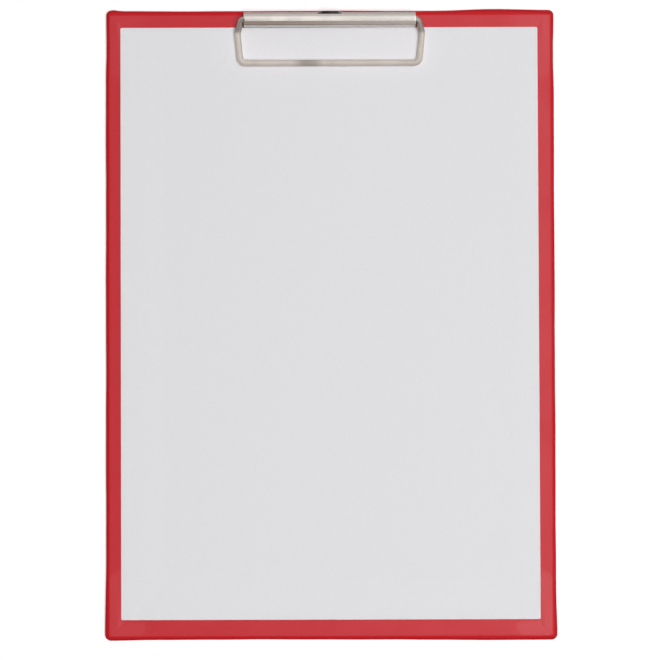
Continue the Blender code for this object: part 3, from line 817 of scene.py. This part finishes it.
def wire_loop(material):
    """Wire on two journals: its legs drop to the writing sheet and then lie along it."""
    journal_tip = SPRING_LOW.x - 1.12 * MM
    elbow_x = BAR_HIGH.x + 1.4 * MM
    knee_x = BAR_HIGH.x + 3.3 * MM
    front_x = BAR_HIGH.x + 1.8 * MM
    knee_reach = 6.2 * MM
    front_reach = BAIL_AXIS.y - BAIL_LOW.y - WIRE_RADIUS
    half = [
        Vector((journal_tip, 0.0, 0.0)),
        Vector((elbow_x, 0.0, 0.0)),
        Vector((knee_x, -knee_reach, wire_height(knee_reach))),
        Vector((front_x, -front_reach, wire_height(front_reach))),
    ]
    mirrored = [Vector((-corner.x, corner.y, corner.z)) for corner in half]
    bend_radii = [2.2 * MM, 2.6 * MM, 3.0 * MM]
    line = rounded_line(half + mirrored[::-1], bend_radii + bend_radii[::-1])
    bm = bmesh.new()
    add_rod(bm, [point + BAIL_AXIS for point in line], WIRE_RADIUS, WIRE_SIDES)
    obj = new_mesh_object("wire_loop", bm)
    slots = bmesh.new()
    slot_half = SPRING_WIRE_RADIUS + 0.1 * MM
    slot_end = SPRING_LOW.x + 2 * SPRING_WIRE_RADIUS + 0.2 * MM
    for side in (-1, 1):
        ends = sorted((side * (journal_tip - WIRE_RADIUS), side * slot_end))
        low = BAIL_AXIS + Vector((ends[0], -slot_half, -2 * WIRE_RADIUS))
        high = BAIL_AXIS + Vector((ends[1], slot_half, 2 * WIRE_RADIUS))
        add_box(slots, low, high)
    combine(obj, slots, "DIFFERENCE")
    finish_piece(obj, material, "bail", "wire_bail")


def coil(name, side, material):
    """Torsion spring: tang in the journal's slot, coil, and a leg on the base plate."""
    radius = SPRING_HIGH.z - BAIL_AXIS.z - SPRING_WIRE_RADIUS
    tang_x = SPRING_LOW.x + SPRING_WIRE_RADIUS
    length = SPRING_HIGH.x - SPRING_LOW.x - 2 * SPRING_WIRE_RADIUS
    turn = 360.0 * length / SPRING_PITCH
    straight_end = radius - 0.4 * MM
    bend = 0.12 * MM
    points = [Vector((tang_x, 0.0, -WIRE_RADIUS)), Vector((tang_x, 0.0, straight_end))]
    points.append(Vector((tang_x, -bend, radius - bend)))
    for i in range(COIL_STEPS + 1):
        angle = math.radians(SPRING_START_ANGLE + turn * i / COIL_STEPS)
        x = tang_x + length * i / COIL_STEPS
        points.append(Vector((x, radius * math.cos(angle), radius * math.sin(angle))))
    points.append(points[-1] + SPRING_LEG)
    placed = [Vector((side * p.x, p.y, p.z)) + BAIL_AXIS for p in points]
    bm = bmesh.new()
    add_rod(bm, placed, SPRING_WIRE_RADIUS, COIL_SIDES)
    obj = new_mesh_object(name, bm)
    node = "spring_right" if side > 0 else "spring_left"
    finish_piece(obj, material, None, node)
    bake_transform(obj)


def rivet(name, side, material):
    """Semi-tubular rivet with a low head in the back and a rolled rim on the base plate."""
    bottom = RIVET_LOW.z
    top = RIVET_HIGH.z
    head = RIVET_HEAD_RADIUS
    head_flat = head - 1.8 * MM
    head_dome = head - 1.1 * MM
    dome_rise = 0.05 * MM
    head_under = head - 0.2 * MM
    head_top = bottom + 0.6 * MM
    edge_radius = 0.35 * MM
    edge_z = bottom + 0.42 * MM
    shank = 1.6 * MM
    bore = 1.0 * MM
    bore_wall_end = top - 2.0 * MM
    bore_end = top - 2.1 * MM
    roll = 0.6 * MM
    tip = 0.05 * MM
    profile = [(tip, bottom), (head_flat, bottom), (head_dome, bottom + dome_rise)]
    profile += arc((head - edge_radius, edge_z), edge_radius, -60.0, 30.0, RIVET_EDGE_STEPS)
    profile += [(head_under, head_top), (shank, head_top), (shank, top - roll)]
    profile += arc((shank, top - roll), roll, 0.0, 140.0, RIVET_ROLL_STEPS)
    profile += [(bore, top - 2 * roll), (bore, bore_wall_end), (tip, bore_end)]
    bm = bmesh.new()
    add_turned(bm, profile, rivet_centre(side))
    obj = new_mesh_object(name, bm)
    node = "rivet_right" if side > 0 else "rivet_left"
    finish_piece(obj, material, "board", node)


def eyelet_outline(half_width, low, high):
    """Straight sides from a flat foot, with an arched top."""
    arch_share = 0.6
    shoulder = high - arch_share * (high - low)
    crown = arc((0.0, 0.0), 1.0, 0.0, 180.0, TAB_STEPS)
    top = [(half_width * x, shoulder + (high - shoulder) * z) for x, z in crown]
    return [(-half_width, low), (half_width, low)] + top


def tab_tube(radius, half_length):
    """Round bar along the tab's axis."""
    shape = bmesh.new()
    ring = circle((TAB_AXIS.y, TAB_AXIS.z), radius, TAB_STEPS)
    add_loft(shape, [[Vector((x, y, z)) for y, z in ring] for x in (-half_length, half_length)])
    return shape


def hang_tab(material):
    """Fold-out eyelet: flat ring with a barrel round its pin."""
    half_width = TAB_HIGH.x
    reach = TAB_HIGH.z - TAB_AXIS.z
    barrel_radius = TAB_AXIS.z - TAB_LOW.z
    barrel_half_length = half_width - 0.05 * MM
    bore_radius = 0.55 * MM
    band = 1.2 * MM
    sheet = 1.7 * MM
    hole_foot = barrel_radius + 0.25 * MM
    front = TAB_LOW.y - TAB_AXIS.y
    outer = eyelet_outline(half_width, 0.0, reach)
    hole = eyelet_outline(half_width - band, hole_foot, reach - band)
    rings = [(outer, front), (outer, front + sheet), (hole, front + sheet), (hole, front)]
    bm = bmesh.new()
    add_loft(bm, [[Vector((x, y, z)) + TAB_AXIS for x, z in line] for line, y in rings], closed=True)
    obj = new_mesh_object("hang_tab", bm)
    combine(obj, tab_tube(barrel_radius, barrel_half_length), "UNION")
    combine(obj, tab_tube(bore_radius, 2 * half_width), "DIFFERENCE")
    soften(obj, 0.22 * MM, 4)
    finish_piece(obj, material, "eyelet", "hanger")


def carry_over(node, material):
    """CAD piece that keeps its shape and gets its finish."""
    obj = frame["nodes"][node]
    obj.data.materials.clear()
    obj.data.materials.append(material)


def floor():
    """White studio floor that glows a little to camera and mirrors, and is clear from below."""
    shade = 0.86
    glow = 0.26
    half_size = 12.0
    drop = 0.3 * MM
    n = new_finish("studio_floor")
    path = n.add("ShaderNodeLightPath")
    seen = n.math("MAXIMUM", path.outputs["Is Camera Ray"], path.outputs["Is Glossy Ray"])
    seen = n.math("MAXIMUM", seen, path.outputs["Is Transmission Ray"])
    n.set(base_color=tinted(WHITE, shade), roughness=0.9, specular_ior_level=0.0)
    n.set(emission_color=tinted(WHITE, 1.0), emission_strength=n.math("MULTIPLY", seen, glow))
    clear = n.add("ShaderNodeBsdfTransparent")
    mix = n.add("ShaderNodeMixShader")
    n.feed(mix, 0, n.add("ShaderNodeNewGeometry").outputs["Backfacing"])
    n.feed(mix, 1, n.shader.outputs["BSDF"])
    n.feed(mix, 2, clear.outputs["BSDF"])
    n.feed(n.tree.nodes["Material Output"], "Surface", mix.outputs["Shader"])
    bm = bmesh.new()
    bmesh.ops.create_grid(bm, x_segments=1, y_segments=1, size=half_size)
    obj = new_mesh_object("studio_floor", bm)
    obj.location.z = -drop
    obj.data.materials.append(n.owner)


def softbox(name, place, size, radiance):
    """Rectangular soft light that faces the board and lights what isn't shiny."""
    data = bpy.data.lights.new(name, "AREA")
    data.shape = "RECTANGLE"
    data.size, data.size_y = size
    data.energy = radiance * math.pi * size[0] * size[1]
    obj = bpy.data.objects.new(name, data)
    obj.location = place
    obj.rotation_euler = (-Vector(place)).to_track_quat("-Z", "Y").to_euler()
    obj.visible_glossy = False
    bpy.context.scene.collection.objects.link(obj)


# Parts of the studio that shiny surfaces mirror. Their directions are parts of a vector of length 1: across
# the board (x), along it (y) and up (z). Four numbers say where a part starts, is full, fades and ends.
DOME_Z = (0.05, 0.5)
WINDOW_X = (-0.09, -0.03, 0.0, 0.03)
RIGHT_WINDOW_X = (0.05, 0.13, 0.4, 0.6)
WINDOWS_Y = (-0.4, -0.25, 0.5, 0.7)
DIM_LEFT_X = (-0.65, -0.45, -0.1, -0.03)
DIM_LEFT_Y = (-0.9, -0.6, 0.1, 0.25)
DIM_FRONT_X = (-0.6, -0.4, -0.015, 0.03)
DIM_FRONT_FULL_Y = -0.36
DIM_FRONT_END_Y = -0.2

# Their strengths
DOME_LOW_STRENGTH = 0.4
DOME_HIGH_STRENGTH = 0.85
WINDOW_STRENGTH = 1.65
RIGHT_WINDOW_STRENGTH = 2.3
DIM_LEFT_STRENGTH = 0.05

# Dim front of the studio, on the side away from the clip: direction, strength and tint
DIM_FRONT = (
    (-1.0, 0.14, (1.0, 0.80, 0.74)),
    (-0.93, 0.32, (1.0, 0.76, 0.70)),
    (-0.8, 0.46, (1.0, 0.75, 0.65)),
    (-0.63, 0.36, (1.0, 0.77, 0.68)),
    (-0.3, 0.42, (1.0, 0.84, 0.77)),
)


def dim_front_colour(n, y):
    """Colour of the dim front for a direction along the board."""
    share = n.add("ShaderNodeMapRange", {"Value": y, "From Min": -1.0}).outputs["Result"]
    ramp = n.add("ShaderNodeValToRGB", {"Fac": share})
    stops = ramp.color_ramp.elements
    while len(stops) < len(DIM_FRONT):
        stops.new(0.5)
    for stop, (direction, strength, tint) in zip(stops, DIM_FRONT):
        stop.position = (direction + 1.0) / 2
        stop.color = tinted(tint, strength)
    return ramp.outputs["Color"]


def world_light():
    """What shiny surfaces mirror: a pale dome with bright windows overhead, dim at the left and in front."""
    n = Nodes(bpy.data.worlds.new("studio"))
    bpy.context.scene.world = n.owner
    n.owner.cycles_visibility.diffuse = False
    place = n.add("ShaderNodeTexCoord").outputs["Generated"]
    x, y, z = n.add("ShaderNodeSeparateXYZ", {0: place}).outputs
    dome = n.remap(z, DOME_LOW_STRENGTH, DOME_HIGH_STRENGTH, *DOME_Z)
    height = n.stretch(y, *WINDOWS_Y)
    window = n.math("MULTIPLY", n.stretch(x, *WINDOW_X), height)
    right_window = n.math("MULTIPLY", n.stretch(x, *RIGHT_WINDOW_X), height)
    left = n.math("MULTIPLY", n.stretch(x, *DIM_LEFT_X), n.stretch(y, *DIM_LEFT_Y))
    front = n.remap(y, 1.0, 0.0, DIM_FRONT_FULL_Y, DIM_FRONT_END_Y)
    front = n.math("MULTIPLY", n.stretch(x, *DIM_FRONT_X), front)
    light = n.blend(window, dome, tinted(WHITE, WINDOW_STRENGTH))
    light = n.blend(right_window, light, tinted(WHITE, RIGHT_WINDOW_STRENGTH))
    light = n.blend(left, light, tinted(WHITE, DIM_LEFT_STRENGTH))
    light = n.blend(front, light, dim_front_colour(n, y))
    n.feed(n.shader, "Color", light)


# Camera: picture size in pixels, sensor in millimetres, distance and aim in metres, angles in degrees
PHOTO_SIZE = 660
MM_PER_PIXEL = 0.5022
SENSOR_WIDTH = 36.0
CAMERA_DISTANCE = 1.2
CAMERA_TILT = 1.4
CAMERA_ROLL = -0.15
AIM = Vector((-0.25 * MM, -3.05 * MM, BOARD_TOP))


def camera():
    """Almost straight above the board, with the clip at the top of the picture."""
    data = bpy.data.cameras.new("camera")
    obj = bpy.data.objects.new("camera", data)
    bpy.context.scene.collection.objects.link(obj)
    data.sensor_width = SENSOR_WIDTH
    data.lens = SENSOR_WIDTH * CAMERA_DISTANCE / (PHOTO_SIZE * MM_PER_PIXEL * MM)
    tilt = math.radians(CAMERA_TILT)
    back = Vector((0.0, -math.sin(tilt), math.cos(tilt)))
    obj.location = AIM + back * CAMERA_DISTANCE
    turn = Matrix.Rotation(tilt, 4, "X") @ Matrix.Rotation(math.radians(CAMERA_ROLL), 4, "Z")
    obj.rotation_euler = turn.to_euler()
    data.clip_start = 0.01
    data.clip_end = 100.0
    bpy.context.scene.camera = obj


def main():
    """Dresses the pieces of the frame and sets up the studio."""
    bpy.context.scene.view_settings.view_transform = "Standard"
    film_wrap(red_film())
    writing_sheet(white_paper())
    clip_cover(cover_nickel())
    wire_loop(wire_nickel())
    spring_finish = spring_steel()
    rivet_finish = rivet_nickel()
    for name, side in (("left", -1), ("right", 1)):
        coil("coil_" + name, side, spring_finish)
        rivet("tube_rivet_" + name, side, rivet_finish)
    hang_tab(black_steel())
    zinc = zinc_plate()
    carry_over("base_plate", zinc)
    carry_over("hanger_pin", zinc)
    carry_over("core_board", greyboard())
    floor()
    world_light()
    softbox("overhead_softbox", place=(0.42, -0.22, 2.2), size=(1.5, 1.5), radiance=7.1)
    softbox("fill_softbox", place=(0.6, 1.2, 2.0), size=(2.4, 2.4), radiance=0.38)
    camera()


main()
